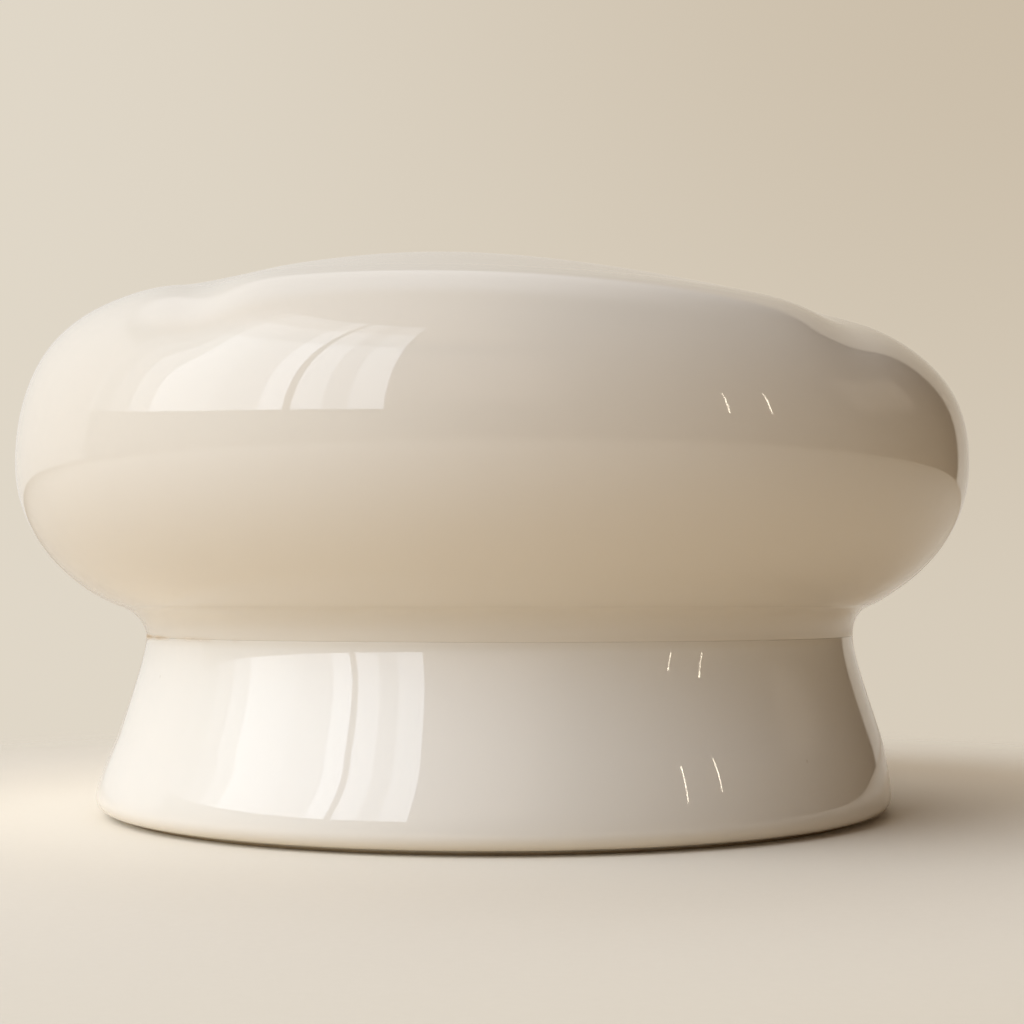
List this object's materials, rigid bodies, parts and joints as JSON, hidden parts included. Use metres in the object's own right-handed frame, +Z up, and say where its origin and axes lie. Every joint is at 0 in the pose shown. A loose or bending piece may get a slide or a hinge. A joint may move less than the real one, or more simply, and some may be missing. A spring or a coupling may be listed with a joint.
{
  "type": "butter crock",
  "caption": "Round glazed ceramic butter crock: a footed water base and a wide cushion-shaped lift-off lid that carries an inverted butter bell.",
  "frame": {"origin": "centre of the foot, at the level of the table that it stands on", "axes": "+Z up along the axis of revolution; +X and +Y level, with the vent in the lid's flange on the -Y side"},
  "size_m": [0.14, 0.14, 0.0815],
  "materials": {
    "base_glaze": "glossy cream-white glaze with a bare foot ring and seat",
    "dome_glaze": "glossy cream-white glaze",
    "bell_glaze": "glossy cream-white glaze"
  },
  "bodies": {
    "base": {"base_crock": "base_glaze"},
    "lid": {"lid_dome": "dome_glaze", "butter_bell": "bell_glaze"}
  },
  "joints": [
    {"name": "lid_lift", "type": "slide", "parent": "base", "child": "lid", "axis": [0, 0, 1], "range_m": [0, 0.07]}
  ]
}
